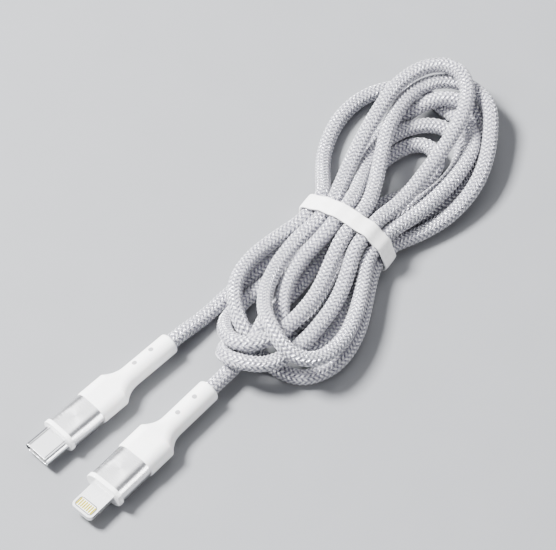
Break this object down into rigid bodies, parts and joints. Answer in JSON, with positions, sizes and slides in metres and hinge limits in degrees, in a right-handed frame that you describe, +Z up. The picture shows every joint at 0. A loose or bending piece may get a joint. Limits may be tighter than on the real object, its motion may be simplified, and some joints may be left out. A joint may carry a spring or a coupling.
{
  "type": "charging cable",
  "caption": "Braided charging cable with a type-C plug and an eight-pin plug, folded into a hank held by a soft band.",
  "frame": {"origin": "on the floor, under the middle of the two plugs' bounding box", "axes": "+Z up; -Y is the way the type-C plug points, +Y runs along it towards the cord; +X to the eight-pin plug's side"},
  "size_m": [0.0588, 0.1623, 0.014],
  "materials": {
    "plated_steel": "bright nickel plate, smooth",
    "brushed_nickel": "fine satin plate",
    "carrier_plastic": "moulded, fine matte",
    "insert_plastic": "moulded, fine matte",
    "gold_plating": "bright gold plate",
    "spring_steel": "rolled sheet",
    "circuit_board": "solder mask",
    "chip_black": "moulded package",
    "mould_white": "low pressure moulding",
    "collar_white": "glossy moulding",
    "satin_aluminium": "satin anodised",
    "wire_red": "extruded insulation",
    "wire_green": "extruded insulation",
    "boot_white": "soft matte overmould",
    "braid_silver": "tight two-over-two braid of white and silver grey yarn",
    "band_white": "smooth matte"
  },
  "bodies": {
    "cable": {"cable_hank": "braid_silver", "eight_pin_board_resistors": "chip_black", "eight_pin_boot": "boot_white", "eight_pin_cable_end": "braid_silver", "eight_pin_cable_tail": "braid_silver", "eight_pin_circuit_board": "circuit_board", "eight_pin_contacts_back": "gold_plating", "eight_pin_contacts_front": "gold_plating", "eight_pin_control_chip": "chip_black", "eight_pin_crimp_ring": "spring_steel", "eight_pin_data_wires": "wire_green", "eight_pin_front_collar": "collar_white", "eight_pin_housing": "satin_aluminium", "eight_pin_inner_mould": "mould_white", "eight_pin_pad_insert": "insert_plastic", "eight_pin_potting": "mould_white", "eight_pin_power_wires": "wire_red", "eight_pin_shield_can": "spring_steel", "eight_pin_tongue_frame": "brushed_nickel", "type_c_board_resistors": "chip_black", "type_c_boot": "boot_white", "type_c_cable_end": "braid_silver", "type_c_cable_tail": "braid_silver", "type_c_circuit_board": "circuit_board", "type_c_contact_carrier": "carrier_plastic", "type_c_contacts_lower": "gold_plating", "type_c_contacts_upper": "gold_plating", "type_c_crimp_ring": "spring_steel", "type_c_data_wires": "wire_green", "type_c_front_collar": "collar_white", "type_c_housing": "satin_aluminium", "type_c_inner_mould": "mould_white", "type_c_latch_springs": "spring_steel", "type_c_marker_chip": "chip_black", "type_c_power_wires": "wire_red", "type_c_shell": "plated_steel"},
    "band": {"tie_band": "band_white"}
  },
  "joints": [
    {"name": "band_slide", "type": "slide", "parent": "cable", "child": "band", "axis": [-0.1874, 0.9823, 0], "range_m": [-0.003, 0.003]}
  ]
}
